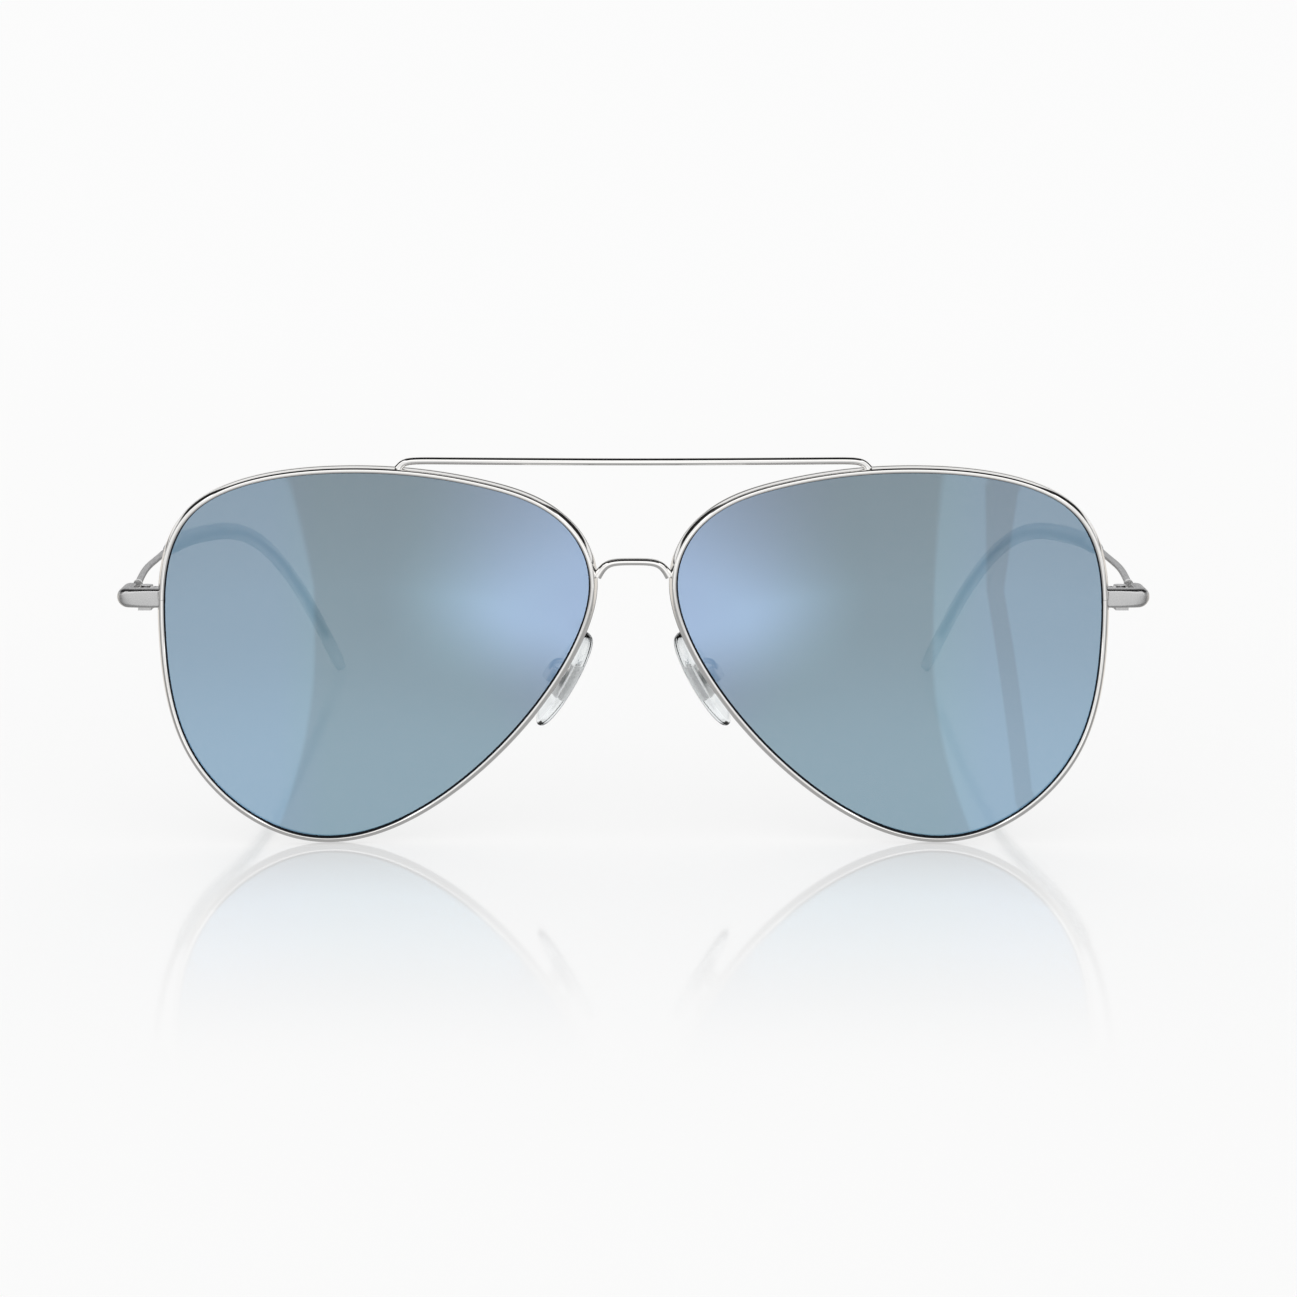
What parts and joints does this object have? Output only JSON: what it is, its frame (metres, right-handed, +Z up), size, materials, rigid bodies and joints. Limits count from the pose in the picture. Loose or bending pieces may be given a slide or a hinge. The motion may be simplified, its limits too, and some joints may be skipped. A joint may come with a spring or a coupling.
{
  "type": "aviator sunglasses",
  "caption": "Thin wire aviator sunglasses with a double bridge, inward-curving pale blue mirror lenses, rocking nose pads and folding wire temples.",
  "frame": {"origin": "on the ground, under the middle of the box round the open glasses", "axes": "+X towards the wearer's left, +Y back along the temples, +Z up; the glasses stand open on the rims and the temple tips"},
  "size_m": [0.1498, 0.1302, 0.0546],
  "materials": {
    "rim_metal": "polished silver",
    "temple_metal": "satin silver wire",
    "hinge_metal": "satin silver",
    "screw_steel": "turned steel",
    "pad_metal": "polished silver",
    "mirror_lens": "pale blue mirror coating",
    "tip_sleeve": "translucent, glossy",
    "pad_silicone": "clear silicone"
  },
  "bodies": {
    "front": {"rim_left": "rim_metal", "rim_right": "rim_metal", "lens_left": "mirror_lens", "lens_right": "mirror_lens", "nose_bridge": "rim_metal", "brow_bar": "rim_metal", "end_piece_left": "hinge_metal", "end_piece_right": "hinge_metal", "closing_block_upper_left": "hinge_metal", "closing_block_upper_right": "hinge_metal", "closing_block_lower_left": "hinge_metal", "closing_block_lower_right": "hinge_metal", "closing_screw_left": "screw_steel", "closing_screw_right": "screw_steel", "hinge_front_left": "hinge_metal", "hinge_front_right": "hinge_metal", "hinge_screw_left": "screw_steel", "hinge_screw_right": "screw_steel", "pad_arm_left": "pad_metal", "pad_arm_right": "pad_metal", "pad_box_left": "pad_metal", "pad_box_right": "pad_metal", "pad_screw_left": "screw_steel", "pad_screw_right": "screw_steel"},
    "temple_left": {"hinge_temple_left": "hinge_metal", "temple_wire_left": "temple_metal", "temple_tip_left": "tip_sleeve"},
    "temple_right": {"hinge_temple_right": "hinge_metal", "temple_wire_right": "temple_metal", "temple_tip_right": "tip_sleeve"},
    "pad_left": {"nose_pad_left": "pad_silicone", "pad_core_left": "pad_metal"},
    "pad_right": {"nose_pad_right": "pad_silicone", "pad_core_right": "pad_metal"}
  },
  "joints": [
    {"name": "temple_fold_left", "type": "hinge", "parent": "front", "child": "temple_left", "pos_m": [0.0683, -0.05695, 0.03415], "axis": [0, 0, 1], "range_deg": [0, 83]},
    {"name": "temple_fold_right", "type": "hinge", "parent": "front", "child": "temple_right", "pos_m": [-0.0683, -0.05695, 0.03415], "axis": [0, 0, -1], "range_deg": [0, 76]},
    {"name": "pad_rock_left", "type": "hinge", "parent": "front", "child": "pad_left", "pos_m": [0.01121, -0.0543, 0.02253], "axis": [0.2991, 0.9397, 0.1658], "range_deg": [-8, 8]},
    {"name": "pad_rock_right", "type": "hinge", "parent": "front", "child": "pad_right", "pos_m": [-0.01121, -0.0543, 0.02253], "axis": [-0.2991, 0.9397, 0.1658], "range_deg": [-8, 8]}
  ]
}
